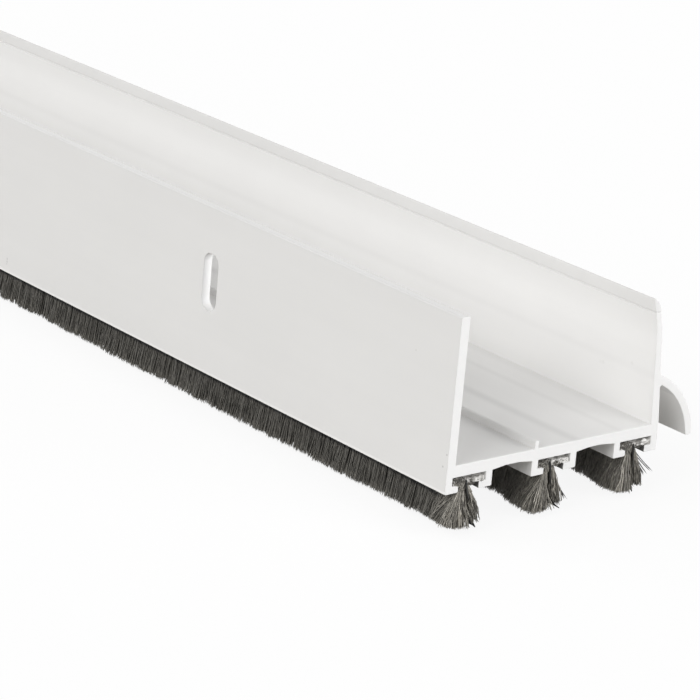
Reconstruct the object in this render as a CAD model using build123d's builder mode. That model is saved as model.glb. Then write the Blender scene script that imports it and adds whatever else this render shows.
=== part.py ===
from build123d import *
import os
from math import acos, asin, degrees, sqrt

# A door shoe: a vinyl channel that slips over the bottom edge of a door and carries three brushes.
# X runs along the strip, Y from the slotted wall towards the rain drip, Z up.
# The origin is on the inner face of the slotted wall, at the base, in the middle of the length.

# Driving dimensions of the channel, in millimetres
length = 914.0                  # cut length, for a door 36 inches wide
overall_height = 41.0           # from the tips of the brush fins to the top of the slotted wall
inner_width = 46.8              # between the two walls, at the base
opening_width = 44.0            # from the slotted wall to the tip of the sealing lip
base_thickness = 2.3
slotted_wall_height = 27.2      # above the base
slotted_wall_thickness = 2.0
rear_wall_height = 21.7         # above the base, up to the sealing lip
rear_wall_foot = 2.0            # thickness of the rear wall at the base
rear_wall_top = 1.25            # thickness of the rear wall under the lip
rear_wall_bend = 16.0           # height from which the rear wall curves in towards the lip
rear_wall_bow = 0.4             # how far it stands out there from a straight lean
joint_groove = 0.2              # bevel of the rear wall where the lip joins it
edge_radius = 0.3               # small rounding of the extruded corners

# Brush slots under the base
cavity_width = 7.6
cavity_height = 1.5
slot_mouth = 4.6
leg_thickness = 1.6             # wall on each side of a cavity
retainer_thickness = 1.4        # lips that hold a backing strip up
arch_rise = 0.45                # hollow of the base between two slots

# Rib on the base, over the front leg of the middle slot
rib_thickness = 1.0
rib_height = 1.5

# Rain drip on the rear wall: a band bent round a level axis
drip_reach = 9.0                # beyond the foot of the rear wall
drip_radius = 15.6              # outer face
drip_thickness = 1.6
drip_axis_drop = 5.2            # the bend's axis, below the base's upper face
drip_tip_drop = 3.6             # the lower edge, below the base's upper face
drip_root_radius = 1.2          # fillet on the drip's upper side
drip_under_radius = 0.4         # fillet on its lower side
drip_tip_radius = 0.5

# Upright screw slots in the slotted wall
screw_slot_count = 4
screw_slot_width = 4.4
screw_slot_length = 11.3
screw_slot_height = 12.7        # centre, above the base
screw_slot_end = 70.3           # from each end of the strip to the nearest slot

# Flexible sealing lip on the rear wall
lip_height = 2.75               # above the rear wall
lip_reach = 0.75                # how far its edge reaches in past the rear wall
lip_tip = 0.4                   # thickness of the lip's edge
lip_bow = 0.45                  # how far its outer face bows away from a straight taper

# Brush strips
backing_thickness = 0.9
backing_clearance = 0.3         # to each side of its cavity
pile_length = 8.7               # from the backing to the fibre ends
pile_root_width = 3.2
pile_end_width = 6.2
pile_root_height = 0.6          # where both halves of the pile are still joined
fin_thickness = 0.2

# Places that follow from the dimensions
strip_start = Plane.YZ.offset(-length / 2)
retainer_top = -base_thickness - cavity_height
leg_bottom = retainer_top - retainer_thickness
housing_width = cavity_width + 2 * leg_thickness
rear_foot = inner_width + rear_wall_foot
front_slot = housing_width / 2 - slotted_wall_thickness
rear_slot = rear_foot - housing_width / 2
brush_slots = {"front": front_slot, "middle": (front_slot + rear_slot) / 2, "rear": rear_slot}
rear_top_inner = opening_width + lip_reach      # the rear wall leans in to carry the lip there
rear_top_outer = rear_top_inner + rear_wall_top
rib_place = brush_slots["middle"] - (cavity_width + leg_thickness) / 2
drip_axis = (rear_foot + drip_reach - drip_radius, -drip_axis_drop)
screw_slot_spacing = (length - 2 * screw_slot_end) / (screw_slot_count - 1)


def rear_wall_lean(foot, top, height):
    """Where the rear wall stands at a height below its bend."""
    return foot + (top - foot) * height / rear_wall_height + rear_wall_bow * height / rear_wall_bend


def rear_wall_face(foot, top, top_height):
    """One face of the rear wall: it leans in from the base, then curves in towards the lip."""
    leaning = Line((foot, 0), (rear_wall_lean(foot, top, rear_wall_bend), rear_wall_bend))
    return TangentArc(leaning @ 1, (top, top_height), tangent=leaning % 1)


def drip_edge(radius):
    """One face of the rain drip, from its lower edge up to the middle of the rear wall."""
    tip = degrees(asin((drip_axis_drop - drip_tip_drop) / radius))
    root_height = sqrt(radius**2 - (rear_foot - drip_axis[0]) ** 2) - drip_axis_drop
    foot_middle = (inner_width + rear_foot) / 2
    top_middle = (rear_top_inner + rear_top_outer) / 2
    wall_middle = rear_wall_lean(foot_middle, top_middle, root_height)
    root = degrees(acos((wall_middle - drip_axis[0]) / radius))
    return CenterArc(drip_axis, radius, tip, root - tip)


# Channel: one extrusion, with the screw slots cut afterwards
with BuildPart() as door_channel:
    with BuildSketch(strip_start) as section:
        # Slotted wall and base
        with Locations((0, leg_bottom)):
            wall_size = (slotted_wall_thickness, slotted_wall_height - leg_bottom)
            Rectangle(*wall_size, align=(Align.MAX, Align.MIN))
        Rectangle(inner_width, base_thickness, align=(Align.MIN, Align.MAX))

        # Rear wall, bevelled where the lip joins it
        with BuildLine():
            inner_face = rear_wall_face(inner_width, rear_top_inner, rear_wall_height - joint_groove)
            outer_face = rear_wall_face(rear_foot, rear_top_outer, rear_wall_height)
            Polyline(
                inner_face @ 1,
                (rear_top_inner + joint_groove, rear_wall_height),
                outer_face @ 1,
            )
            Polyline(
                (inner_width, 0),
                (inner_width, -base_thickness),
                (rear_foot, -base_thickness),
                (rear_foot, 0),
            )
        make_face()

        # Undercut brush slots
        for slot in brush_slots.values():
            with Locations((slot, 0)):
                Rectangle(housing_width, -leg_bottom, align=(Align.CENTER, Align.MAX))
            with Locations((slot, -base_thickness)):
                cavity_place = (Align.CENTER, Align.MAX)
                Rectangle(cavity_width, cavity_height, align=cavity_place, mode=Mode.SUBTRACT)
                Rectangle(slot_mouth, -leg_bottom, align=cavity_place, mode=Mode.SUBTRACT)

        # Shallow arch in the base between each two slots
        for left, right in ((front_slot, brush_slots["middle"]), (brush_slots["middle"], rear_slot)):
            arch_start = (left + housing_width / 2, -base_thickness)
            arch_end = (right - housing_width / 2, -base_thickness)
            with BuildLine():
                SagittaArc(arch_start, arch_end, arch_rise)
                Line(arch_end, arch_start)
            make_face(mode=Mode.SUBTRACT)

        # Rib
        with Locations((rib_place, 0)):
            Rectangle(rib_thickness, rib_height, align=(Align.CENTER, Align.MIN))

        # Rain drip
        with BuildLine():
            drip_outside = drip_edge(drip_radius)
            drip_inside = drip_edge(drip_radius - drip_thickness)
            Line(drip_outside @ 1, drip_inside @ 1)
            Line(drip_outside @ 0, drip_inside @ 0)
        make_face()

        # Roundings of the extruded corners
        for root, radius in ((drip_outside @ 1, drip_root_radius), (drip_inside @ 1, drip_under_radius)):
            fillet(section.vertices().sort_by_distance(root)[0], radius)
        for tip in (drip_outside @ 0, drip_inside @ 0):
            fillet(section.vertices().sort_by_distance(tip)[0], drip_tip_radius)
        for level in (leg_bottom, rib_height, slotted_wall_height):
            corners = section.vertices().filter_by_position(Axis.Y, level - edge_radius, level + edge_radius)
            fillet(corners, edge_radius)
    extrude(amount=length)

    with BuildSketch(Plane.XZ.offset(slotted_wall_thickness)):
        with Locations((0, screw_slot_height)):
            with GridLocations(screw_slot_spacing, 0, screw_slot_count, 1):
                SlotOverall(screw_slot_length, screw_slot_width, rotation=90)
    extrude(amount=-slotted_wall_thickness, mode=Mode.SUBTRACT)

# Sealing lip: tapers in over the channel from the top of the rear wall
with BuildPart() as sealing_lip:
    with BuildSketch(strip_start):
        lip_top = rear_wall_height + lip_height
        with BuildLine():
            lip_outside = SagittaArc((rear_top_outer, rear_wall_height), (opening_width, lip_top), -lip_bow)
            Polyline(
                lip_outside @ 0,
                (rear_top_inner, rear_wall_height),
                (opening_width, lip_top - lip_tip),
                lip_outside @ 1,
            )
        make_face()
    extrude(amount=length)

os.makedirs("parts", exist_ok=True)
door_channel.part.label = "door_channel"
export_step(door_channel.part, "parts/door_channel.step")
sealing_lip.part.label = "sealing_lip"
export_step(sealing_lip.part, "parts/sealing_lip.step")

# Brush strips: backing, pile and fin for each slot
for place, slot in brush_slots.items():
    with BuildPart() as backing:
        with BuildSketch(strip_start):
            with Locations((slot, retainer_top)):
                backing_width = cavity_width - 2 * backing_clearance
                Rectangle(backing_width, backing_thickness, align=(Align.CENTER, Align.MIN))
        extrude(amount=length)

    # The fibres fan out from the backing, and a slit in the pile takes the fin
    fin_top = retainer_top - pile_root_height
    fin_length = fin_top + overall_height - slotted_wall_height
    flank_height = (pile_length**2 - (pile_end_width / 2) ** 2) ** 0.5
    with BuildPart() as pile:
        with BuildSketch(strip_start):
            with BuildLine():
                pile_left = (slot - pile_end_width / 2, retainer_top - flank_height)
                pile_right = (slot + pile_end_width / 2, retainer_top - flank_height)
                Polyline(
                    pile_left,
                    (slot - pile_root_width / 2, retainer_top),
                    (slot + pile_root_width / 2, retainer_top),
                    pile_right,
                )
                ThreePointArc(pile_right, (slot, retainer_top - pile_length), pile_left)
            make_face()
            with Locations((slot, fin_top)):
                slit_place = (Align.CENTER, Align.MAX)
                Rectangle(fin_thickness, fin_length, align=slit_place, mode=Mode.SUBTRACT)
        extrude(amount=length)

    with BuildPart() as fin:
        with BuildSketch(strip_start):
            with Locations((slot, fin_top)):
                Rectangle(fin_thickness, fin_length, align=(Align.CENTER, Align.MAX))
        extrude(amount=length)

    for name, piece in (("backing", backing), ("pile", pile), ("fin", fin)):
        piece.part.label = f"brush_{name}_{place}"
        export_step(piece.part, f"parts/brush_{name}_{place}.step")
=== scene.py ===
from math import cos, radians, sin
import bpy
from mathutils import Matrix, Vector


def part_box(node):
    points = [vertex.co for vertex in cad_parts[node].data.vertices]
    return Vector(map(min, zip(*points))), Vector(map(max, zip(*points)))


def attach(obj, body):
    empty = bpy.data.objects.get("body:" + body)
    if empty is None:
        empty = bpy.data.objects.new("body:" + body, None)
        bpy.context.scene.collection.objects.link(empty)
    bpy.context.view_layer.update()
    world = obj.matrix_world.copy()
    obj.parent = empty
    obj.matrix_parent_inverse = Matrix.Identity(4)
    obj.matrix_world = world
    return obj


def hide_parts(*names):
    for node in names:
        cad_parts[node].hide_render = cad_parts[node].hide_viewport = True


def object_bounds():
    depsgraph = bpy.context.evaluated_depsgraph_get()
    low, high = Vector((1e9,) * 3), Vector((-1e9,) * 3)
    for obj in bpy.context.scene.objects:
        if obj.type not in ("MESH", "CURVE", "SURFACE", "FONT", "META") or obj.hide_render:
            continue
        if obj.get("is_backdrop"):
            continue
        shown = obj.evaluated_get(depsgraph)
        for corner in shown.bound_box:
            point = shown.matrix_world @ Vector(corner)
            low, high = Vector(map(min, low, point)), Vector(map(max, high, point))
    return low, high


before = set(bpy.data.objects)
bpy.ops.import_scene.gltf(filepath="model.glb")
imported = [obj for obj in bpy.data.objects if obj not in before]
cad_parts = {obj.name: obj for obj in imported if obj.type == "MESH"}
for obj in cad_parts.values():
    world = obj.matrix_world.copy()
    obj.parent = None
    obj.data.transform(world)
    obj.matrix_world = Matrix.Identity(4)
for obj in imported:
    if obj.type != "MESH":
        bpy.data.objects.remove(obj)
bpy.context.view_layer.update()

from types import SimpleNamespace

import bmesh
import bpy
import numpy as np
from mathutils import Matrix, Vector

# A door shoe: white vinyl channel, soft lip, and three brush strips made of separate strands.
# Everything is in metres. +X is the near cut end, +Y points at the rain drip, +Z is up.

MM = 0.001
PLACES = ("front", "middle", "rear")
NEAR_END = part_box("door_channel")[1].x
SEEDS = {"pile": 20, "hairs": 50, "film": 70, "fuzz": 90}   # for the front brush, then one up for each

# Camera: where the near inner corner of the channel falls in the picture
IMAGE_SIZE = 700                    # pixels, both ways
NEAR_CORNER = Vector((NEAR_END, 0, 0))
CORNER_PIXEL = (456.2, 465.9)
CORNER_DEPTH = 550.6 * MM           # from the lens, along its axis
FOCAL_PIXELS = 3195.0
CAMERA_AZIMUTH = 49.49              # degrees
CAMERA_ELEVATION = 18.42
CAMERA_ROLL = 5.06
SENSOR_WIDTH = 36.0                 # millimetres, as Blender counts lenses

# Light
SKY_LIGHT = 0.43                    # even light from all round
LAMPS = {                           # strength, then degrees round from +X, up from level, and across
    "end_lamp": (3.05, 30, 7, 45),
    "front_lamp": (1.0, -76, 30, 32),
    "far_lamp": (1.06, -130, 30, 45),
}
FLOOR_SIZE = 12.0
FLOOR_TONE = 0.99                   # where the floor is seen
FLOOR_GLOW = 0.9                    # share of plain white in it there
FLOOR_BOUNCE = 0.5                  # tone of the floor for the light that it throws back on the object
FLOOR_WARMTH = 0.07

# Shape of the extrusions
WELD = 0.001 * MM
FLAT_ANGLE = radians(0.5)           # faces closer than this are one face
SHARP_ANGLE = radians(28)
ENDWISE = 0.98                      # an end face points, or a long edge runs, this far along X
LENGTHWISE = 0.02                   # and a long face no further than this
SAW_EASE = 0.2 * MM                 # rounding left by the saw and the punch
THIN_EASE = 0.08 * MM               # and on the lip and the backings

# Vinyl
VINYL_TONE = 0.8
LIP_TONE = 0.775
VINYL_WARMTH = 0.019
VINYL_GLOSS = 0.25                  # specular level
VINYL_ROUGHNESS = 0.4
LIP_ROUGHNESS = 0.5
FINE_LINES = (3, 2600, 2600)        # die lines, in waves a metre along X, Y and Z
BROAD_LINES = (1.2, 260, 260)
CLOUDS = (35, 60, 60)
SAW_GRAIN = (5200, 5200, 5200)
NOISE_SPAN = (0.3, 0.7)             # noise is darkest below this span and palest above it
LINE_TONES = (0.99, 1.005)          # darkest and palest tone of the broad lines
CLOUD_TONES = (0.985, 1.01)
LINE_ROUGHNESS = 0.12               # between the smoothest and the roughest fine line
SAW_ROUGHNESS = 0.25                # more on a cut end
BROAD_RELIEF = 6.0                  # height of the broad lines against the fine ones
GRAIN_RELIEF = 3.0
RELIEF_DEPTH = 0.01 * MM
RELIEF_STRENGTH = 0.25
FACING = 0.7                        # a face lies level or stands where it points this far along Z or Y
SAW_FACING = 0.8                    # and is a saw cut where it points this far along X
SAW_TONE = 1.015                    # of a cut end, against the drawn faces
FRONT_WALL_PAINTED_SHADE = 0.985             # painted shade: the slotted wall is a little greyer than the base
REAR_WALL_PAINTED_LIGHT = 1.1                # and painted light: the rear wall a little paler
FRONT_WALL_Y = 0.04 * MM            # the slotted wall lies before this
REAR_WALL_Y = 40 * MM               # and the rear wall behind this
FOOT_PAINTED_HIGHLIGHT = 0.2                    # painted highlight: a paler line along the slotted wall's lower edge
FOOT_SHINE_LOW = -4.9 * MM
FOOT_SHINE_HIGH = -4.45 * MM
MOUTH_PAINTED_SHADE = 0.75                  # painted shade, and dark fibres, on the inner sides of the slots' mouths
MOUTH_HALF = 2.5 * MM
MOUTH_TOP = -3.7 * MM
PUNCH_PAINTED_SHADE_AND_LIGHT = (0.93, 1.17)          # painted shade and light on a screw slot's sides, at the outer and at the inner face
PUNCH_DEPTH = 2.0 * MM
PUNCH_FACING = (0.6, 1.0)           # how far along X its sides point
PUNCH_MARGIN = 1.0 * MM             # what lies nearer to a cut end is no screw slot

# Faint lines of painted shade, where something stands behind a face or joins it: place, half width, depth
# of tone
BASE_PAINTED_SHADE_LINES = (
    (-1.85 * MM, 0.35 * MM, 0.06),  # the front edge of the slotted wall's top
    (-0.15 * MM, 0.35 * MM, 0.06),  # and its back edge
    (28.4 * MM, 2.0 * MM, 0.105),   # the rear leg of the middle slot
    (39.2 * MM, 1.4 * MM, 0.05),    # the front leg of the rear slot
    (46.2 * MM, 3.0 * MM, 0.055),   # the rear wall's foot
)
FRONT_PAINTED_SHADE_LINES = (
    (27.0 * MM, 0.35 * MM, 0.06),   # the slotted wall's rounded top
)
REAR_PAINTED_SHADE_LINES = (
    (0.0 * MM, 5.0 * MM, 0.04),     # the wall's foot
    (9.4 * MM, 1.3 * MM, 0.03),     # the drip behind the wall
    (21.65 * MM, 0.4 * MM, 0.1),    # the lip's joint
    (24.45 * MM, 0.3 * MM, 0.12),   # and its edge
)

# Small dark specks on the vinyl: millimetres from the near end, Y, Z and radius, then depth of tone
SPECKS = (
    (0.45, -2.0, 2.2, 0.25, 0.4),
    (1.2, -2.0, -0.2, 0.28, 0.35),
    (10.96, -2.0, 17.98, 0.2, 0.25),
    (70.7, -0.6, 11.7, 0.25, 0.4),
    (13.4, 46.5, 7.9, 0.6, 0.1),
    (14.1, 46.5, 7.8, 0.5, 0.07),
    (5.9, 46.2, 10.1, 0.5, 0.08),
    (137.8, -2.0, -2.2, 0.35, 0.25),
    (137.8, -2.0, -2.8, 0.35, 0.25),
    (137.9, -2.0, -3.3, 0.25, 0.25),
)
SPECK_CORE = 0.3                    # share of the radius that has the full depth
SPECK_TONE = 0.2
SPECK_WARMTH = 0.1

# Backing of the brush strips
BACKING_ROUGHNESS = 0.7
BACKING_MOTTLE = (900, 900, 900)    # waves a metre
BACKING_STOPS = ((0.35, 0.35, 0.08), (0.5, 0.68, 0.05), (0.65, 0.85, 0.03))    # height, tone, warmth
BACKING_WEAVE = 1900.0              # cells a metre
BACKING_RELIEF = 0.1 * MM
BACKING_RELIEF_STRENGTH = 0.6
BACKING_UNDERSIDE_SHADE = 0.06            # painted shade on faces that point down, and the fibres' dark roots there
UNDERSIDE_WARMTH = 0.1

# Brush strips, measured from the middle of a slot and from the backing's underside
PILE_REACH = 8.7 * MM
ROOT_HALF = 1.5 * MM
FLANK_FLARE = 1.7 * MM              # more width on each side at the free ends
FLANK_LIFT = {"front": 0.0, "middle": 0.0, "rear": 0.05}    # how much shorter the outer strands hang
FLANK_CROWDING = 0.33               # below 1, more strands stand at the flanks than at the film
NECK_DEPTH = 0.16                   # share of the reach that the slot holds
SEEN_LENGTH = {"front": 165 * MM, "middle": 40 * MM, "rear": 40 * MM}   # from the near end
NEAR_DENSITY = 75                   # strands a millimetre along that length
FAR_DENSITY = {"front": 36, "middle": 29, "rear": 29}       # and along the rest
NEAR_STEPS = (0, 0.35, 0.94, 1)     # points down a strand, from its root to its blunt end
FAR_STEPS = (0, 0.9, 1)
END_STEPS = (0, 0.1, 0.35, 0.65, 0.95, 1)
STRAND_WIDTH = 0.17 * MM
STRAND_CURL = 0.22 * MM
STRAND_GAP = 0.12 * MM              # beside the film
LEAST_PILE = 0.15 * MM              # room for strands behind the film
REAR_SHARE = 0.42                   # of the strands stand behind the film
TUFT_PITCH = 1.1 * MM
DRIFT_WAVES = (6.1 * MM, 8.3 * MM, 13.0 * MM)   # the pile leans along the strip in waves this long
NOTCH_WAVES = (7.3 * MM, 9.1 * MM)  # and hangs shorter in these
LEAN_ALONG = (0.35, 0.2, 0.6)       # millimetres, for these waves, for a tuft and for a single strand
LEAN_ACROSS = (0.16, 0.13)          # for a tuft and for a single strand
SHORTENING = (0.1, 0.12, 0.15)      # for a tuft, for a single strand and for the waves
LEAN_MARGIN = 1.0 * MM              # strands nearer to a cut end than this lean less

# Fibre tones
FIBRE_ROUGHNESS = 0.5
FIBRE_WARMTH = 0.165
INNER_TONES = (0.112, 0.13, 0.155)  # darkest, usual and palest strand inside the strip
END_TONES = (0.12, 0.27, 0.56)      # and at a frayed end
HAIR_TONES = (0.01, 0.02, 0.04)     # and of the single hairs
INNER_PAINTED_LIGHT = (1.0, 1.45)           # painted light: a factor inside the strip for the front brush, and for those behind it
END_PAINTED_LIGHT = (1.18, 1.12)            # and at the frayed ends
FIBRE_CLUMPS = (2400, 2400, 1500)   # waves a metre
CLUMP_TONES = (0.5, 1.15)
FAR_SIDE_PAINTED_SHADE = 0.6                 # painted shade on strands on the drip's side of a slot
FAR_SIDE = (0.2 * MM, 1.4 * MM)     # which starts and ends here, across from the slot's middle
ROOT_PAINTED_SHADE = 0.05                   # painted shade at the roots, at these heights in the front and in the other brushes
ROOT_SHADE_FRONT = -7.2 * MM
ROOT_SHADE_INNER = -5.3 * MM
ROOT_SHADE_FADE = 0.35 * MM
TIP_PAINTED_LIGHT = 1.7                     # painted light on the free ends, between these heights
TIP_SHINE_TOP = -10.3 * MM
TIP_SHINE_FOOT = -12.3 * MM
FUZZ_PAINTED_SHADE = 0.4                    # painted shade on the fibres in a slot's end, between these heights
FUZZ_SHADE_TOP = -3.2 * MM
FUZZ_SHADE_FOOT = -5.2 * MM

# Cut ends of the brush strips, where the pile is pushed to one side and frays
END_REACH = 4 * MM
END_LEFT = 2.1 * MM
END_LEFT_FLARE = 2.3 * MM
END_LEFT_BULGE = 0.7                # power below 1: the flank flares early
END_RIGHT = -0.1 * MM
END_RIGHT_FLARE = 2.2 * MM
END_RIGHT_BULGE = 0.8
PUSH = {"front": 0.0, "middle": 2.2 * MM, "rear": 0.8 * MM}  # to the left, a little behind the cut
PUSH_REACH = 12 * MM
END_LIFT = {"front": 0.15, "middle": 0.0, "rear": 0.0}      # how much shorter the outer strands are
END_SHORT = {"front": 0.32, "middle": 0.2, "rear": 0.17}    # and those behind the film
END_RAGGED = (0.3, 1.5)             # which vary between these shares of it
END_STRANDS = {-1: 700, 1: 1900}    # extra strands at the far and at the near end
END_STRAND_WIDTH = 0.16 * MM
END_CURL = 0.32 * MM
FRAY_LENGTH = 6 * MM
FRAY_CROWDING = 1.6                 # above 1, more of the extra strands stand near the cut
FRAY_REACH = 3.5 * MM
FRAY_RANGE = (-1, 0.5)              # from leaning back most to leaning out most
FRAY_BACK = 4.6 * MM                # how far free ends lean back along the strip
FRAY_OUT = 0.8 * MM                 # how far others reach past the cut
FRAY_ACROSS = (0.8, 2.5)            # how much wider they lean across, behind and before the film

# Film in each pile: bend along the strip, and shift, tip and curl at its cut ends
FILM_THICKNESS = 0.15 * MM
FILM_BEND = 2.2 * MM
FILM_DEPTH = 1.09                   # of the pile's reach
FILM_END_RISE = 0.13                # the film hides in the frayed end
FILM_TIP_DROP = 0.1                 # but shows a tip at the cut
FILM_TIP_REACH = 0.45 * MM
FILM_INSET = 0.3 * MM               # from the cut end
FILM_WAVES = (17 * MM, 29 * MM, 53 * MM)
FILM_WAVE = 0.25 * MM               # how far it waves across
FILM_END_LENGTH = 20 * MM           # has closer columns of points
FILM_END_COLUMNS = 41
FILM_COLUMNS = 120
FILM_ROWS = 12
FILM_ENDS = {
    "front": (-0.9 * MM, 2.7 * MM, 1.5),
    "middle": (-1.2 * MM, 2.4 * MM, 5.0),
    "rear": (-0.8 * MM, 0.9 * MM, 3.0),
}
FILM_GLOSS = {"Roughness": 0.8, "Specular IOR Level": 0.1}
FILM_DUST = (300, 300, 900)         # waves a metre
FILM_STOPS = ((0.4, 0.006, 0.0), (0.75, 0.02, 0.1))         # height, tone, warmth

# Single hairs that stand off a cut end: across from the slot's middle, and down
STRAY_HAIRS = {
    "front": ((3.6 * MM, 6.4 * MM),),
    "middle": ((4.4 * MM, 7.8 * MM), (3.2 * MM, 7.0 * MM)),
    "rear": ((5.1 * MM, 5.5 * MM), (3.1 * MM, 6.4 * MM), (4.2 * MM, 6.2 * MM)),
}
HAIR_WIDTH = 0.18 * MM
HAIR_POINTS = 8
HAIR_THREADS = 3                    # close together, in each hair
HAIR_SPREAD = 0.22 * MM             # between their tips
HAIR_START = (-0.6, 0.0)            # millimetres across, at the backing
HAIR_BACK = (0.1, 1.2)              # millimetres in from the cut end
HAIR_OUT = (-0.3, 0.5)              # millimetres that the tip stands further out
HAIR_BEND = 1.25                    # power above 1: the hair bends outwards

# Dark threads where the film runs up into its slot, at shares of the pile's reach
ROOT_THREADS = 7
ROOT_THREAD_TOP = -0.12
ROOT_THREAD_FOOT = (0.25, 0.5)
ROOT_THREAD_SPREAD = 0.08 * MM
ROOT_THREAD_OUT = (0.25, 0.45)      # millimetres past the cut end

# Looped fibres in a slot's end: number, width, low and high (Y, Z), and whether they run down its neck
FUZZ = {
    "brush_fuzz": (150, 0.18 * MM, (-3.65 * MM, -3.75 * MM), (-0.4 * MM, -2.35 * MM), True),
    "brush_loops": (60, 0.22 * MM, (-3.65 * MM, -3.75 * MM), (-1.6 * MM, -2.45 * MM), False),
    "brush_lobe": (40, 0.2 * MM, (-0.2 * MM, -4.1 * MM), (1.4 * MM, -3.0 * MM), False),
}
CRUMBS = (9, 0.75 * MM, (0.2 * MM, -3.6 * MM), (3.3 * MM, -2.75 * MM), False)   # of the backing
FUZZ_POINTS = 6
FUZZ_CURL = 0.3 * MM
FUZZ_OUT = (-0.45, 0.2)             # millimetres past the cut end
FUZZ_BULGE = 0.25 * MM              # how far the middle of a loop stands out
FUZZ_SET_BACK = 0.8                 # share of the bulge by which its feet lie further in
NECK_LOW = (-2.1 * MM, -5.2 * MM)   # where fibres end in the neck, (Y, Z)
NECK_HIGH = (-0.4 * MM, -4.4 * MM)
NECK_TOP = -3.75 * MM
NECK_FOOT = -5.5 * MM


def slot_middle(place):
    """Y of the middle of a brush slot."""
    lower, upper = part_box("brush_fin_" + place)
    return (lower.y + upper.y) / 2


def backing_underside(place):
    """Z of the backing's underside, where the pile starts."""
    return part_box("brush_pile_" + place)[1].z


def random_numbers(kind, place):
    """A source of random numbers of its own for each kind of piece in each brush."""
    return np.random.default_rng(SEEDS[kind] + PLACES.index(place))


SLOT_SPACING = slot_middle("middle") - slot_middle("front")


# Shader nodes

def add(tree, kind, inputs=None, **settings):
    """A shader node whose inputs are numbers, colours or the outputs of other nodes."""
    node = tree.nodes.new("ShaderNode" + kind)
    for setting, value in settings.items():
        setattr(node, setting, value)
    for socket, value in (inputs or {}).items():
        if isinstance(value, bpy.types.NodeSocket):
            tree.links.new(value, node.inputs[socket])
        else:
            node.inputs[socket].default_value = value
    return node


def grey(value, warmth=0.0):
    """A linear colour that is nearly grey: warmth takes some blue away."""
    return (value, value * (1 - warmth / 3), value * (1 - warmth), 1)


def ramp(tree, factor, *stops):
    """A nearly grey colour that runs through the stops: position, tone and warmth of each."""
    node = add(tree, "ValToRGB", {"Fac": factor})
    elements = node.color_ramp.elements
    while len(elements) < len(stops):
        elements.new(0.5)
    for element, (position, tone, warmth) in zip(elements, stops):
        element.position = position
        element.color = grey(tone, warmth)
    return node.outputs["Color"]


def uneven(tree, texture, darkest, palest):
    """A grey that follows a noise texture between two tones."""
    low, high = NOISE_SPAN
    return ramp(tree, texture, (low, darkest, 0.0), (high, palest, 0.0))


def blend(tree, factor, first, second, kind="MIX"):
    """Two colours mixed by a factor."""
    node = add(tree, "Mix", {0: factor, 6: first, 7: second}, data_type="RGBA", blend_type=kind)
    return node.outputs[2]


def tint(tree, colour, tone):
    """A colour times a tone or another colour."""
    return blend(tree, 1.0, colour, tone, "MULTIPLY")


def math(tree, kind, first, second=0.0, third=0.0):
    """One sum with up to three numbers."""
    node = add(tree, "Math", {0: first, 1: second, 2: third}, operation=kind)
    return node.outputs[0]


def spread(tree, value, from_low, from_high, to_low=0.0, to_high=1.0):
    """A value carried from one range to another, and held at its ends."""
    node = add(tree, "MapRange", {"Value": value, "From Min": from_low, "From Max": from_high,
                                  "To Min": to_low, "To Max": to_high})
    return node.outputs[0]


def noise(tree, place, stretch, detail=2.0):
    """Noise with so many waves a metre along X, Y and Z."""
    stretched = add(tree, "Mapping", {"Vector": place, "Scale": stretch})
    texture = add(tree, "TexNoise", {"Vector": stretched.outputs[0], "Scale": 1.0, "Detail": detail})
    return texture.outputs["Fac"]


def new_tree(owner):
    """The emptied node tree of a material or of the sky."""
    owner.use_nodes = True
    owner.node_tree.nodes.clear()
    return owner.node_tree


def new_material(name, **surface_inputs):
    """A material with one Principled surface, its node tree, and coordinates fixed to the object."""
    material = bpy.data.materials.new(name)
    tree = new_tree(material)
    surface = add(tree, "BsdfPrincipled", surface_inputs)
    output = add(tree, "OutputMaterial")
    tree.links.new(surface.outputs[0], output.inputs["Surface"])
    coordinates = add(tree, "TexCoord")
    return material, tree, surface, coordinates


def across_slot(tree, y):
    """Y measured from the middle of the nearest brush slot."""
    from_front = math(tree, "SUBTRACT", y, slot_middle("front"))
    return math(tree, "WRAP", from_front, SLOT_SPACING / 2, -SLOT_SPACING / 2)


# Vinyl

def specks(tree, place):
    """How dark the small specks are, and 0 elsewhere."""
    total = 0.0
    for back, y, z, radius, depth in SPECKS:
        centre = (NEAR_END - back * MM, y * MM, z * MM)
        away = add(tree, "VectorMath", {0: place, 1: centre}, operation="DISTANCE").outputs["Value"]
        one = spread(tree, away, SPECK_CORE * radius * MM, radius * MM, depth, 0.0)
        total = math(tree, "MAXIMUM", one, total)
    return total


def painted_shade_lines(tree, distance, painted_lines):
    """How much darker a face is on its lines of painted shade."""
    total = 0.0
    for middle, half_width, depth in painted_lines:
        away = math(tree, "ABSOLUTE", math(tree, "SUBTRACT", distance, middle))
        fade = {"Value": away, "From Max": half_width, "To Min": depth, "To Max": 0.0}
        line = add(tree, "MapRange", fade, interpolation_type="SMOOTHSTEP")
        total = math(tree, "ADD", line.outputs[0], total)
    return total


def painted_mouth_shade(tree, parts):
    """How much darker the inner sides of the brush slots' mouths are: painted shade, and dark fibres
    there.
    """
    away = math(tree, "ABSOLUTE", across_slot(tree, parts.outputs["Y"]))
    in_mouth = math(tree, "LESS_THAN", away, MOUTH_HALF)
    low = math(tree, "LESS_THAN", parts.outputs["Z"], MOUTH_TOP)
    return math(tree, "MULTIPLY", math(tree, "MULTIPLY", in_mouth, low), MOUTH_PAINTED_SHADE)


def painted_foot_highlight(tree, parts):
    """How much paler the lower edge of the slotted wall is: a painted highlight."""
    shine = spread(tree, parts.outputs["Z"], FOOT_SHINE_LOW, FOOT_SHINE_HIGH, FOOT_PAINTED_HIGHLIGHT, 0.0)
    on_front = math(tree, "LESS_THAN", parts.outputs["Y"], FRONT_WALL_Y)
    return math(tree, "MULTIPLY", shine, on_front)


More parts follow.
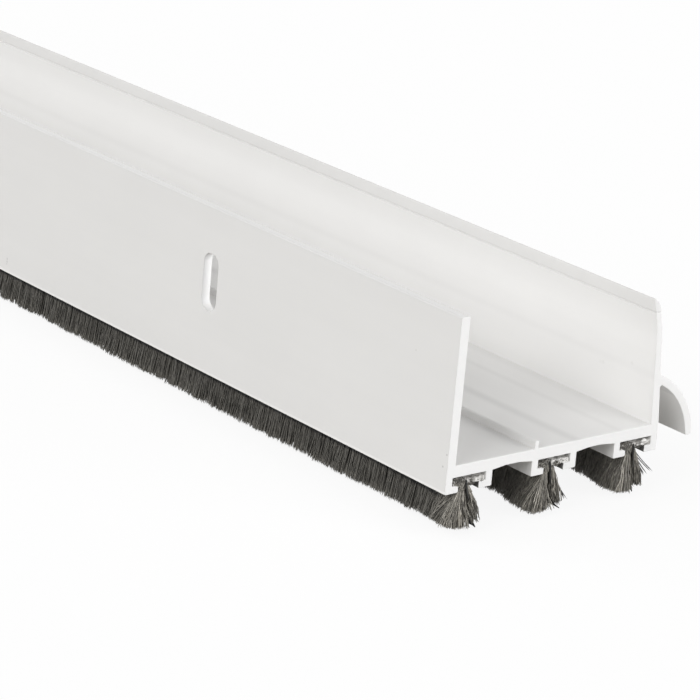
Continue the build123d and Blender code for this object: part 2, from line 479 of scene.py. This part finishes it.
def painted_punch_shade(tree, parts, endwise):
    """Painted shade and light on the screw slots' sides, which are paler further in, and 1 elsewhere."""
    along = math(tree, "ABSOLUTE", parts.outputs["X"])
    inside = math(tree, "LESS_THAN", along, NEAR_END - PUNCH_MARGIN)
    punched = math(tree, "MULTIPLY", inside, spread(tree, endwise, *PUNCH_FACING))
    outer, inner = PUNCH_PAINTED_SHADE_AND_LIGHT
    tone = spread(tree, parts.outputs["Y"], -PUNCH_DEPTH, 0.0, outer - 1, inner - 1)
    return math(tree, "MULTIPLY_ADD", punched, tone, 1.0)


def painted_wall_shade(tree, parts, direction):
    """Painted light and shade on the walls and the base, as a tone against plain vinyl."""
    on_wall = math(tree, "GREATER_THAN", math(tree, "ABSOLUTE", direction.outputs["Y"]), FACING)
    on_base = math(tree, "GREATER_THAN", direction.outputs["Z"], FACING)
    to_rear = spread(tree, parts.outputs["Y"], 0.0, REAR_WALL_Y)
    to_front = math(tree, "SUBTRACT", 1.0, to_rear)
    # painted shade on the slotted wall and painted light on the rear wall
    painted_wall_tone = spread(tree, to_rear, 0.0, 1.0, FRONT_WALL_PAINTED_SHADE - 1, REAR_WALL_PAINTED_LIGHT - 1)
    # lines of painted shade on the walls, then a painted highlight at the foot and painted shade in the
    # slots' mouths
    front_painted_shade = math(tree, "MULTIPLY", to_front, painted_shade_lines(tree, parts.outputs["Z"], FRONT_PAINTED_SHADE_LINES))
    rear_painted_shade = math(tree, "MULTIPLY", to_rear, painted_shade_lines(tree, parts.outputs["Z"], REAR_PAINTED_SHADE_LINES))
    wall_painted_shade = math(tree, "ADD", front_painted_shade, rear_painted_shade)
    painted_wall_tone = math(tree, "ADD", math(tree, "SUBTRACT", painted_wall_tone, wall_painted_shade), painted_foot_highlight(tree, parts))
    painted_wall_tone = math(tree, "SUBTRACT", painted_wall_tone, painted_mouth_shade(tree, parts))
    base_painted_shade = math(tree, "MULTIPLY", on_base, painted_shade_lines(tree, parts.outputs["Y"], BASE_PAINTED_SHADE_LINES))
    shade = math(tree, "MULTIPLY_ADD", on_wall, painted_wall_tone, 1.0)
    return math(tree, "SUBTRACT", shade, base_painted_shade)


def vinyl(name, tone, roughness):
    """Extruded vinyl: faint die lines along the strip, satin gloss, paler, rougher saw cuts, and painted
    light and shade on the walls, the base and the screw slots.
    """
    material, tree, surface, coordinates = new_material(name, **{"Specular IOR Level": VINYL_GLOSS})
    place = coordinates.outputs["Object"]
    parts = add(tree, "SeparateXYZ", {"Vector": place})
    direction = add(tree, "SeparateXYZ", {"Vector": coordinates.outputs["Normal"]})
    endwise = math(tree, "ABSOLUTE", direction.outputs["X"])
    saw_cut = math(tree, "GREATER_THAN", endwise, SAW_FACING)
    fine_lines = noise(tree, place, FINE_LINES)
    broad_lines = noise(tree, place, BROAD_LINES)
    clouds = noise(tree, place, CLOUDS, detail=4)
    grain = noise(tree, place, SAW_GRAIN)

    shade = tint(tree, grey(tone, VINYL_WARMTH), uneven(tree, broad_lines, *LINE_TONES))
    shade = tint(tree, shade, uneven(tree, clouds, *CLOUD_TONES))
    # painted light and shade on the walls, the base and the screw slots' sides
    shade = tint(tree, shade, painted_wall_shade(tree, parts, direction))
    shade = blend(tree, saw_cut, shade, grey(tone * SAW_TONE))
    shade = tint(tree, shade, painted_punch_shade(tree, parts, endwise))
    shade = blend(tree, specks(tree, place), shade, grey(SPECK_TONE, SPECK_WARMTH))
    tree.links.new(shade, surface.inputs["Base Color"])

    gloss = math(tree, "MULTIPLY_ADD", fine_lines, LINE_ROUGHNESS, roughness - LINE_ROUGHNESS / 2)
    gloss = math(tree, "MULTIPLY_ADD", saw_cut, SAW_ROUGHNESS, gloss)
    tree.links.new(gloss, surface.inputs["Roughness"])

    height = math(tree, "MULTIPLY_ADD", broad_lines, BROAD_RELIEF, fine_lines)
    height = math(tree, "MULTIPLY_ADD", math(tree, "MULTIPLY", saw_cut, grain), GRAIN_RELIEF, height)
    bump = {"Strength": RELIEF_STRENGTH, "Distance": RELIEF_DEPTH, "Height": height}
    tree.links.new(add(tree, "Bump", bump).outputs[0], surface.inputs["Normal"])
    return material


# Materials of the brush strips

def backing_material():
    """Pale backing of a brush strip, mottled where fibres pass through it, and dark underneath: painted
    shade, and the fibres' roots.
    """
    material, tree, surface, coordinates = new_material("brush_backing", Roughness=BACKING_ROUGHNESS)
    place = coordinates.outputs["Object"]
    direction = add(tree, "SeparateXYZ", {"Vector": coordinates.outputs["Normal"]})
    below = math(tree, "LESS_THAN", direction.outputs["Z"], -FACING)
    mottled = ramp(tree, noise(tree, place, BACKING_MOTTLE, detail=3), *BACKING_STOPS)
    # painted shade, with the fibres' dark roots, on faces that point down
    shade = blend(tree, below, mottled, grey(BACKING_UNDERSIDE_SHADE, UNDERSIDE_WARMTH))
    tree.links.new(shade, surface.inputs["Base Color"])

    weave = add(tree, "TexVoronoi", {"Vector": place, "Scale": BACKING_WEAVE}).outputs["Distance"]
    bump = {"Strength": BACKING_RELIEF_STRENGTH, "Distance": BACKING_RELIEF, "Height": weave}
    tree.links.new(add(tree, "Bump", bump).outputs[0], surface.inputs["Normal"])
    return material


def strand_tone(tree, tones):
    """A tone for each strand, between the darkest and the palest."""
    one_strand = add(tree, "NewGeometry").outputs["Random Per Island"]
    dark, usual, pale = tones
    stops = (0.0, dark, FIBRE_WARMTH), (0.5, usual, FIBRE_WARMTH), (1.0, pale, FIBRE_WARMTH)
    return ramp(tree, one_strand, *stops)


def painted_inner_shade(tree, z, inner_brush):
    """Tone along a strand inside the strip: painted shade at the root, painted light at the free end, and
    more painted light in the brushes behind the front one.
    """
    root = spread(tree, inner_brush, 0.0, 1.0, ROOT_SHADE_FRONT, ROOT_SHADE_INNER)
    below_root = math(tree, "SUBTRACT", root, z)
    painted_root_shade = spread(tree, below_root, 0.0, ROOT_SHADE_FADE, ROOT_PAINTED_SHADE, 1.0)
    painted_tip_light = spread(tree, z, TIP_SHINE_TOP, TIP_SHINE_FOOT, 1.0, TIP_PAINTED_LIGHT)
    light = spread(tree, inner_brush, 0.0, 1.0, *INNER_PAINTED_LIGHT)
    return math(tree, "MULTIPLY", math(tree, "MULTIPLY", painted_root_shade, painted_tip_light), light)


def painted_end_shade(tree, z, inner_brush):
    """Tone along a strand at a frayed end: painted shade in the slot, and painted light that differs
    between the front brush and those behind it.
    """
    painted_fuzz_shade = spread(tree, z, FUZZ_SHADE_TOP, FUZZ_SHADE_FOOT, FUZZ_PAINTED_SHADE, 1.0)
    light = spread(tree, inner_brush, 0.0, 1.0, *END_PAINTED_LIGHT)
    return math(tree, "MULTIPLY", painted_fuzz_shade, light)


def strand_material(name, inner_tones, end_tones):
    """Fibre: each strand has a tone of its own and is paler where the pile frays, with painted shade at
    its root, in the slot and on the drip's side, and painted light at its free end.
    """
    material, tree, surface, coordinates = new_material(name, Roughness=FIBRE_ROUGHNESS)
    place = coordinates.outputs["Object"]
    parts = add(tree, "SeparateXYZ", {"Vector": place})
    along = math(tree, "ABSOLUTE", parts.outputs["X"])
    frayed = spread(tree, along, NEAR_END - FRAY_LENGTH, NEAR_END)
    z = parts.outputs["Z"]

    # 0 in the front brush and 1 in those behind it
    front_side = slot_middle("front") + SLOT_SPACING / 3
    inner_side = slot_middle("middle") - SLOT_SPACING / 3
    inner_brush = spread(tree, parts.outputs["Y"], front_side, inner_side)
    # painted shade and light along the strands, by height and by brush
    inside = tint(tree, strand_tone(tree, inner_tones), painted_inner_shade(tree, z, inner_brush))
    at_end = tint(tree, strand_tone(tree, end_tones), painted_end_shade(tree, z, inner_brush))

    clumps = noise(tree, place, FIBRE_CLUMPS, detail=4)
    # painted shade on the drip's side of each slot
    far_side_shade = spread(tree, across_slot(tree, parts.outputs["Y"]), *FAR_SIDE, 1.0, FAR_SIDE_PAINTED_SHADE)
    shade = blend(tree, frayed, inside, at_end)
    shade = tint(tree, shade, uneven(tree, clumps, *CLUMP_TONES))
    shade = tint(tree, shade, far_side_shade)
    tree.links.new(shade, surface.inputs["Base Color"])
    return material


def film_material():
    """Black film, a little dusty."""
    material, tree, surface, coordinates = new_material("brush_film", **FILM_GLOSS)
    dust = noise(tree, coordinates.outputs["Object"], FILM_DUST, detail=4)
    tree.links.new(ramp(tree, dust, *FILM_STOPS), surface.inputs["Base Color"])
    return material


# Extrusions

def new_object(name, mesh, material):
    """An object in the scene, with this mesh and one material."""
    piece = bpy.data.objects.new(name, mesh)
    bpy.context.scene.collection.objects.link(piece)
    piece.data.materials.clear()
    piece.data.materials.append(material)
    return piece


def place_piece(piece, slot, *nodes):
    """The piece rides on the strip and stands for these nodes."""
    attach(piece, "root")
    if nodes:
        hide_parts(*nodes)


def is_cut(edge):
    """True for an edge where a long face meets a saw-cut end or a punched slot."""
    if len(edge.link_faces) != 2:
        return False
    least, most = sorted(abs(face.normal.x) for face in edge.link_faces)
    flat_ended = least < LENGTHWISE and most > ENDWISE
    along = edge.verts[1].co - edge.verts[0].co
    turned = edge.calc_face_angle(0) > SHARP_ANGLE
    return flat_ended or (turned and abs(along.normalized().x) < ENDWISE)


def eased_copy(node, material, ease):
    """A welded copy of a CAD node whose cut edges are slightly rounded."""
    shape = bmesh.new()
    shape.from_mesh(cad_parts[node].data)
    bmesh.ops.remove_doubles(shape, verts=shape.verts, dist=WELD)
    bmesh.ops.dissolve_limit(shape, angle_limit=FLAT_ANGLE, verts=shape.verts, edges=shape.edges)
    cut_edges = [edge for edge in shape.edges if is_cut(edge)]
    bmesh.ops.bevel(shape, geom=cut_edges, offset=ease, segments=2, profile=0.5, affect="EDGES",
                    clamp_overlap=False)
    for face in shape.faces:
        face.smooth = True
    for edge in shape.edges:
        edge.smooth = edge.calc_face_angle(0) < SHARP_ANGLE
    mesh = bpy.data.meshes.new(node + "_finished")
    shape.to_mesh(mesh)
    shape.free()
    piece = new_object(mesh.name, mesh, material)
    normals = piece.modifiers.new("flat_faces", "WEIGHTED_NORMAL")
    normals.keep_sharp = True
    normals.weight = 100
    return piece


# Strands

def strand_triangles(rings):
    """Corner numbers of one strand's triangles: a point, its rings of three corners, and a point."""
    tip = rings * 3 + 1
    triangles = []
    for corner in range(3):
        following = (corner + 1) % 3
        triangles.append((0, 1 + following, 1 + corner))
        for ring in range(rings - 1):
            low = 1 + ring * 3
            triangles.append((low + corner, low + following, low + 3 + corner))
            triangles.append((low + following, low + 3 + following, low + 3 + corner))
        triangles.append((tip - 3 + corner, tip - 3 + following, tip))
    return np.array(triangles)


def triangle_mesh(name, corners, triangles):
    """One mesh of many strands that all have the same triangles."""
    count, each, _ = corners.shape
    faces = np.arange(count)[:, None, None] * each + triangles[None]
    mesh = bpy.data.meshes.new(name)
    mesh.vertices.add(count * each)
    mesh.vertices.foreach_set("co", corners.astype(np.float32).ravel())
    mesh.loops.add(faces.size)
    mesh.loops.foreach_set("vertex_index", faces.astype(np.int32).ravel())
    mesh.polygons.add(faces.size // 3)
    mesh.polygons.foreach_set("loop_start", np.arange(0, faces.size, 3, dtype=np.int32))
    mesh.update(calc_edges=True)
    mesh.shade_smooth()
    return mesh


def strand_mesh(name, paths, width, rng):
    """Closed three-sided strands. Each path is a row of points, pointed at its first and last."""
    count, points, _ = paths.shape
    rings = points - 2
    tangent = paths[:, 2:] - paths[:, :-2]
    tangent /= np.linalg.norm(tangent, axis=2, keepdims=True)
    helper = rng.normal(size=(count, 1, 3))
    side = np.cross(tangent, helper)
    side /= np.linalg.norm(side, axis=2, keepdims=True)
    other = np.cross(tangent, side)
    angles = np.arange(3) * 2 * np.pi / 3
    offsets = side[:, :, None] * np.cos(angles)[:, None] + other[:, :, None] * np.sin(angles)[:, None]
    ring_points = (paths[:, 1:-1, None] + offsets * width / 2).reshape(count, rings * 3, 3)
    corners = np.concatenate([paths[:, :1], ring_points, paths[:, -1:]], axis=1)
    return triangle_mesh(name, corners, strand_triangles(rings))


def waves(x, rng, lengths):
    """A smooth random line along the strip, between about -1 and 1."""
    phases = rng.uniform(0, 2 * np.pi, len(lengths))
    swings = (np.sin(2 * np.pi * x / length + phase) for length, phase in zip(lengths, phases))
    return sum(swings) / len(lengths)


def end_share(x, reach=END_REACH):
    """1 at a cut end, and less and less further along the strip."""
    return np.exp(-np.maximum(NEAR_END - np.abs(x), 0) / reach)


def film_offset(place, x, depth):
    """Where the film stands across the slot, at a share of the pile's reach."""
    shift, tip, curl = FILM_ENDS[place]
    inside = FILM_BEND * depth**2
    at_end = shift * (1 - depth) + tip * np.maximum(depth, 0) ** curl
    return inside + (at_end - inside) * end_share(x)


def below_slot(depth):
    """0 as far as the slot holds a strand, then up to 1 at its free end."""
    return np.maximum(depth - NECK_DEPTH, 0) / (1 - NECK_DEPTH)


def pile_sides(place, x, depth):
    """Left and right limits of the pile across the slot, at a share of its reach."""
    share = end_share(x)
    half = ROOT_HALF + FLANK_FLARE * depth
    end_left = END_LEFT + END_LEFT_FLARE * below_slot(depth) ** END_LEFT_BULGE
    end_right = END_RIGHT + END_RIGHT_FLARE * depth**END_RIGHT_BULGE
    pushed = PUSH[place] * (end_share(x, PUSH_REACH) - share) * depth
    left = -half - (end_left - half) * share - pushed
    right = half + (end_right - half) * share
    return left, right


def draw_strands(x, rng):
    """The random choices of strands at these places along the strip."""
    count = len(x)
    strands = SimpleNamespace(x=x, loose=end_share(x, FRAY_REACH))
    strands.behind = rng.uniform(size=count) < REAR_SHARE
    strands.outward = rng.uniform(size=count) ** FLANK_CROWDING
    tuft = np.floor((x + NEAR_END) / TUFT_PITCH).astype(int) * 2 + strands.behind
    strands.tuft = rng.normal(size=(tuft.max() + 1, 3))[tuft]
    strands.own = rng.normal(size=(count, 3))
    strands.bow = rng.normal(size=(count, 4))
    strands.drift = waves(x, rng, DRIFT_WAVES)
    strands.notch = np.maximum(waves(x, rng, NOTCH_WAVES), 0)
    strands.fray = rng.uniform(*FRAY_RANGE, count)
    strands.ragged = rng.uniform(*END_RAGGED, count)
    return strands


def strand_lean(strands):
    """How far free ends lean along and across the strip. At a cut end they fray past it and back."""
    out = strands.fray / FRAY_RANGE[1] * FRAY_OUT
    back = strands.fray * FRAY_BACK * strands.outward**2
    fray = np.where(strands.fray > 0, out, back) * strands.loose * np.sign(strands.x)
    clear = np.clip((NEAR_END - np.abs(strands.x)) / LEAN_MARGIN, 0, 1)
    by_drift, by_tuft, by_own = LEAN_ALONG
    along = by_drift * strands.drift + by_tuft * strands.tuft[:, 0] + by_own * strands.own[:, 0]
    by_tuft, by_own = LEAN_ACROSS
    across = by_tuft * strands.tuft[:, 1] + by_own * strands.own[:, 1]
    wider = 1 + np.where(strands.behind, *FRAY_ACROSS) * strands.loose
    return along * MM * clear + fray, across * MM * wider


def strand_length(place, strands):
    """How far each strand hangs, as a share of the pile's reach."""
    by_tuft, by_own, by_notch = SHORTENING
    short = by_tuft * np.abs(strands.tuft[:, 2]) + by_own * np.abs(strands.own[:, 2])
    short = (short + by_notch * strands.notch) * MM
    length = 1 - FLANK_LIFT[place] * strands.outward**2 - short / PILE_REACH
    ragged = END_SHORT[place] * end_share(strands.x) * strands.ragged
    lifted = END_LIFT[place] * end_share(strands.x, 2 * END_REACH) * strands.outward**2
    return length - np.where(strands.behind, ragged, lifted)


def pile_paths(place, x, steps, rng):
    """Strands at these places along the strip, from the backing to their free ends, in leaning tufts."""
    strands = draw_strands(x, rng)
    lean_x, lean_y = strand_lean(strands)
    down = np.array(steps)[:, None]
    depth = down * strand_length(place, strands)
    film = film_offset(place, x, depth)
    left, right = pile_sides(place, x, depth)
    right = np.maximum(right, film + STRAND_GAP + LEAST_PILE)
    in_front = film - STRAND_GAP - strands.outward * (film - STRAND_GAP - left)
    at_back = film + STRAND_GAP + strands.outward * (right - film - STRAND_GAP)

    free = below_slot(down)
    arch = np.sin(np.pi * down) * free
    twist = np.sin(2 * np.pi * down) * free
    curl = STRAND_CURL + END_CURL * strands.loose
    bow_y = curl * (strands.bow[:, 0] * arch + strands.bow[:, 1] * twist)
    bow_x = curl * (strands.bow[:, 2] * arch + strands.bow[:, 3] * twist)
    along = x + lean_x * free + bow_x
    across = np.where(strands.behind, at_back, in_front) + lean_y * free + bow_y
    z = np.broadcast_to(backing_underside(place) - depth * PILE_REACH, across.shape)
    return np.stack([along, slot_middle(place) + across, z], axis=2).transpose(1, 0, 2)


# Pieces of a brush strip

def pile_stretches(place):
    """Name, start, stop, strands a millimetre and the points down a strand for each stretch of a pile."""
    seen = NEAR_END - SEEN_LENGTH[place]
    near = ("near", seen, NEAR_END, NEAR_DENSITY, NEAR_STEPS)
    far = ("far", -NEAR_END, seen, FAR_DENSITY[place], FAR_STEPS)
    return near, far


def pile_pieces(place, material):
    """The pile's strands, in pieces of a fair size."""
    rng = random_numbers("pile", place)
    for name, start, stop, density, steps in pile_stretches(place):
        x = rng.uniform(start, stop, int((stop - start) / MM * density))
        paths = pile_paths(place, x, steps, rng)
        mesh = strand_mesh(f"brush_pile_{place}_{name}", paths, STRAND_WIDTH, rng)
        yield new_object(mesh.name, mesh, material)

    side = np.repeat(list(END_STRANDS), list(END_STRANDS.values()))
    x = side * (NEAR_END - FRAY_LENGTH * rng.uniform(size=len(side)) ** FRAY_CROWDING)
    paths = pile_paths(place, x, END_STEPS, rng)
    mesh = strand_mesh(f"brush_tufts_{place}", paths, END_STRAND_WIDTH, rng)
    yield new_object(mesh.name, mesh, material)


def stray_hair(place, end, across, depth, rng):
    """One thread of a hair that stands off a cut end, on the drip's side."""
    down = np.linspace(0, 1, HAIR_POINTS)
    tip_y, tip_z = (across, depth) + rng.normal(0, HAIR_SPREAD, 2)
    start_y = rng.uniform(*HAIR_START) * MM
    back = rng.uniform(*HAIR_BACK) * MM
    out = rng.uniform(*HAIR_OUT)
    x = end * (NEAR_END - back + down * out * MM)
    y = slot_middle(place) + start_y + (tip_y - start_y) * down**HAIR_BEND
    return np.stack([x, y, backing_underside(place) - tip_z * down], axis=1)


def root_thread(place, end, rng):
    """A dark thread beside the film, at a cut end."""
    depth = np.linspace(ROOT_THREAD_TOP, rng.uniform(*ROOT_THREAD_FOOT), HAIR_POINTS)
    aside = rng.normal(0, ROOT_THREAD_SPREAD)
    out = rng.uniform(*ROOT_THREAD_OUT) * MM
    x = np.full(HAIR_POINTS, end * (NEAR_END + out))
    y = slot_middle(place) + film_offset(place, end * NEAR_END, depth) + aside
    return np.stack([x, y, backing_underside(place) - PILE_REACH * depth], axis=1)


def hair_piece(place, material):
    """Dark single hairs that stand off the cut ends, and the threads beside the film."""
    rng = random_numbers("hairs", place)
    paths = []
    for end in (-1, 1):
        for across, depth in STRAY_HAIRS[place]:
            paths += [stray_hair(place, end, across, depth, rng) for _ in range(HAIR_THREADS)]
        paths += [root_thread(place, end, rng) for _ in range(ROOT_THREADS)]
    mesh = strand_mesh("brush_hairs_" + place, np.array(paths), HAIR_WIDTH, rng)
    return new_object(mesh.name, mesh, material)


def film_piece(place, material):
    """The film in the middle of a pile: bent along the strip, and curled at the cut ends."""
    rng = random_numbers("film", place)
    ends = NEAR_END - FILM_INSET - np.linspace(0, FILM_END_LENGTH, FILM_END_COLUMNS)
    between = np.linspace(-ends[-1], ends[-1], FILM_COLUMNS)[1:-1]
    x = np.concatenate([-ends, between, ends[::-1]])
    wave = waves(x, rng, FILM_WAVES) * FILM_WAVE
    edge = FILM_DEPTH - FILM_END_RISE * end_share(x, 2 * END_REACH)
    edge = edge + FILM_TIP_DROP * end_share(x, FILM_TIP_REACH)
    shape = bmesh.new()
    columns = []
    for xi, wi, depth in zip(x, wave, edge):
        down = np.linspace(0, 1, FILM_ROWS) * depth
        y = slot_middle(place) + film_offset(place, xi, down) + wi * down**2
        z = backing_underside(place) - PILE_REACH * down
        columns.append([shape.verts.new((xi, yi, zi)) for yi, zi in zip(y, z)])
    for left, right in zip(columns, columns[1:]):
        for row in range(FILM_ROWS - 1):
            face = shape.faces.new((left[row], right[row], right[row + 1], left[row + 1]))
            face.smooth = True
    mesh = bpy.data.meshes.new("brush_film_" + place)
    shape.to_mesh(mesh)
    shape.free()
    piece = new_object(mesh.name, mesh, material)
    thickness = piece.modifiers.new("thickness", "SOLIDIFY")
    thickness.thickness = FILM_THICKNESS
    thickness.offset = 0
    return piece


def fuzz_piece(name, place, count, width, low, high, to_neck, material):
    """Looped fibres in the mouth of a brush slot, at both cut ends, within a low and a high (Y, Z)."""
    rng = random_numbers("fuzz", place)
    total = 2 * count
    end = np.repeat((-1, 1), count)
    start = rng.uniform(low, high, (total, 2))
    stop = rng.uniform(low, high, (total, 2))
    if to_neck:
        stop = rng.uniform(NECK_LOW, NECK_HIGH, (total, 2))
    out = rng.uniform(*FUZZ_OUT, (total, 1)) * MM
    down = np.linspace(0, 1, FUZZ_POINTS)
    arch = np.sin(np.pi * down)
    curl = rng.normal(0, FUZZ_CURL, (total, 2, 1)) * arch
    yz = start[:, :, None] + (stop - start)[:, :, None] * down + curl
    lowest = NECK_FOOT if to_neck else low[1]
    yz = np.clip(yz, [[low[0]], [lowest]], [[high[0]], [high[1]]])
    in_neck = yz[:, 1] < NECK_TOP
    yz[:, 0] = np.where(in_neck & to_neck, np.maximum(yz[:, 0], NECK_LOW[0]), yz[:, 0])
    x = end[:, None] * (NEAR_END + out + FUZZ_BULGE * (arch - FUZZ_SET_BACK))
    paths = np.stack([x, slot_middle(place) + yz[:, 0], yz[:, 1]], axis=2)
    mesh = strand_mesh(f"{name}_{place}", paths, width, rng)
    return new_object(mesh.name, mesh, material)


# Stage

def photo_camera():
    """A camera at the photo's viewing angle, placed so that the near corner falls on its own pixel."""
    azimuth, elevation, roll = (radians(a) for a in (CAMERA_AZIMUTH, CAMERA_ELEVATION, CAMERA_ROLL))
    back = Vector((sin(azimuth) * cos(elevation), -cos(azimuth) * cos(elevation), sin(elevation)))
    level = Vector((cos(azimuth), sin(azimuth), 0))
    upright = back.cross(level)
    right = level * cos(roll) + upright * sin(roll)
    up = upright * cos(roll) - level * sin(roll)
    metres_per_pixel = CORNER_DEPTH / FOCAL_PIXELS
    across = (CORNER_PIXEL[0] - IMAGE_SIZE / 2) * metres_per_pixel
    down = (CORNER_PIXEL[1] - IMAGE_SIZE / 2) * metres_per_pixel
    lens = NEAR_CORNER + back * CORNER_DEPTH - right * across + up * down
    turn = Matrix((right, up, back)).transposed().to_4x4()
    camera = bpy.data.objects.new("camera", bpy.data.cameras.new("camera"))
    bpy.context.scene.collection.objects.link(camera)
    camera.matrix_world = Matrix.Translation(lens) @ turn
    camera.data.sensor_width = SENSOR_WIDTH
    camera.data.lens = SENSOR_WIDTH * FOCAL_PIXELS / IMAGE_SIZE
    bpy.context.scene.camera = camera


def soft_lamp(name, strength, azimuth, elevation, width):
    """A wide soft light that stands at these angles, and shines on the object."""
    lamp = bpy.data.lights.new(name, "SUN")
    lamp.energy = strength
    lamp.angle = radians(width)
    sun = bpy.data.objects.new(name, lamp)
    bpy.context.scene.collection.objects.link(sun)
    round_x, up = radians(azimuth), radians(elevation)
    away = Vector((cos(up) * cos(round_x), cos(up) * sin(round_x), sin(up)))
    sun.rotation_mode = "QUATERNION"
    sun.rotation_quaternion = away.to_track_quat("Z", "Y")


def seen_plainly(tree):
    """1 where a surface is seen directly, in a reflection or through something clear."""
    path = add(tree, "LightPath")
    seen = math(tree, "MAXIMUM", path.outputs["Is Camera Ray"], path.outputs["Is Glossy Ray"])
    return math(tree, "MAXIMUM", seen, path.outputs["Is Transmission Ray"])


def sky():
    """Faint even light from all round, and plain white where it is seen."""
    world = bpy.data.worlds.new("studio")
    bpy.context.scene.world = world
    tree = new_tree(world)
    strength = spread(tree, seen_plainly(tree), 0.0, 1.0, SKY_LIGHT, 1.0)
    light = add(tree, "Background", {"Color": grey(1.0), "Strength": strength})
    tree.links.new(light.outputs[0], add(tree, "OutputWorld").inputs["Surface"])


def floor_material():
    """White where it is seen, with the object's shadow on it, and greyer in the light it throws back."""
    material = bpy.data.materials.new("floor")
    tree = new_tree(material)
    seen = seen_plainly(tree)
    colour = blend(tree, seen, grey(FLOOR_BOUNCE, FLOOR_WARMTH), grey(FLOOR_TONE))
    lit = add(tree, "BsdfDiffuse", {"Color": colour})
    glow = add(tree, "Emission", {"Color": grey(1.0), "Strength": 1.0})
    share = math(tree, "MULTIPLY", seen, FLOOR_GLOW)
    both = add(tree, "MixShader", {0: share, 1: lit.outputs[0], 2: glow.outputs[0]})
    tree.links.new(both.outputs[0], add(tree, "OutputMaterial").inputs["Surface"])
    return material


def studio():
    """Sky, soft lamps, and a white floor under the object."""
    sky()
    for name, settings in LAMPS.items():
        soft_lamp(name, *settings)
    bpy.ops.mesh.primitive_plane_add(size=FLOOR_SIZE, location=(0, 0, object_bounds()[0].z))
    floor = bpy.context.object
    floor.name = "floor"
    floor.data.materials.append(floor_material())
    floor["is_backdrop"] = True
    bpy.context.scene.view_settings.view_transform = "Standard"


# The object

def dress_extrusions():
    """The channel and its lip."""
    rigid = vinyl("rigid_vinyl", VINYL_TONE, VINYL_ROUGHNESS)
    place_piece(eased_copy("door_channel", rigid, SAW_EASE), "rigid_vinyl", "door_channel")
    soft = vinyl("soft_vinyl", LIP_TONE, LIP_ROUGHNESS)
    place_piece(eased_copy("sealing_lip", soft, THIN_EASE), "soft_vinyl", "sealing_lip")


def dress_brush(place, materials):
    """One brush strip: its backing, film and pile, and the loose fibres at its cut ends."""
    backing = eased_copy("brush_backing_" + place, materials["backing"], THIN_EASE)
    place_piece(backing, "brush_backing", "brush_backing_" + place)
    film = film_piece(place, materials["film"])
    place_piece(film, "brush_fin", "brush_fin_" + place)
    for strands in pile_pieces(place, materials["strands"]):
        place_piece(strands, "brush_pile", "brush_pile_" + place)
    place_piece(hair_piece(place, materials["hairs"]), "brush_pile")
    for name, settings in FUZZ.items():
        place_piece(fuzz_piece(name, place, *settings, materials["strands"]), "brush_pile")
    crumbs = fuzz_piece("brush_crumbs", place, *CRUMBS, materials["backing"])
    place_piece(crumbs, "brush_backing")


def dress():
    """Every piece of the door shoe."""
    dress_extrusions()
    materials = {
        "backing": backing_material(),
        "film": film_material(),
        "strands": strand_material("brush_strands", INNER_TONES, END_TONES),
        "hairs": strand_material("brush_hairs", HAIR_TONES, HAIR_TONES),
    }
    for place in PLACES:
        dress_brush(place, materials)


dress()
studio()
photo_camera()
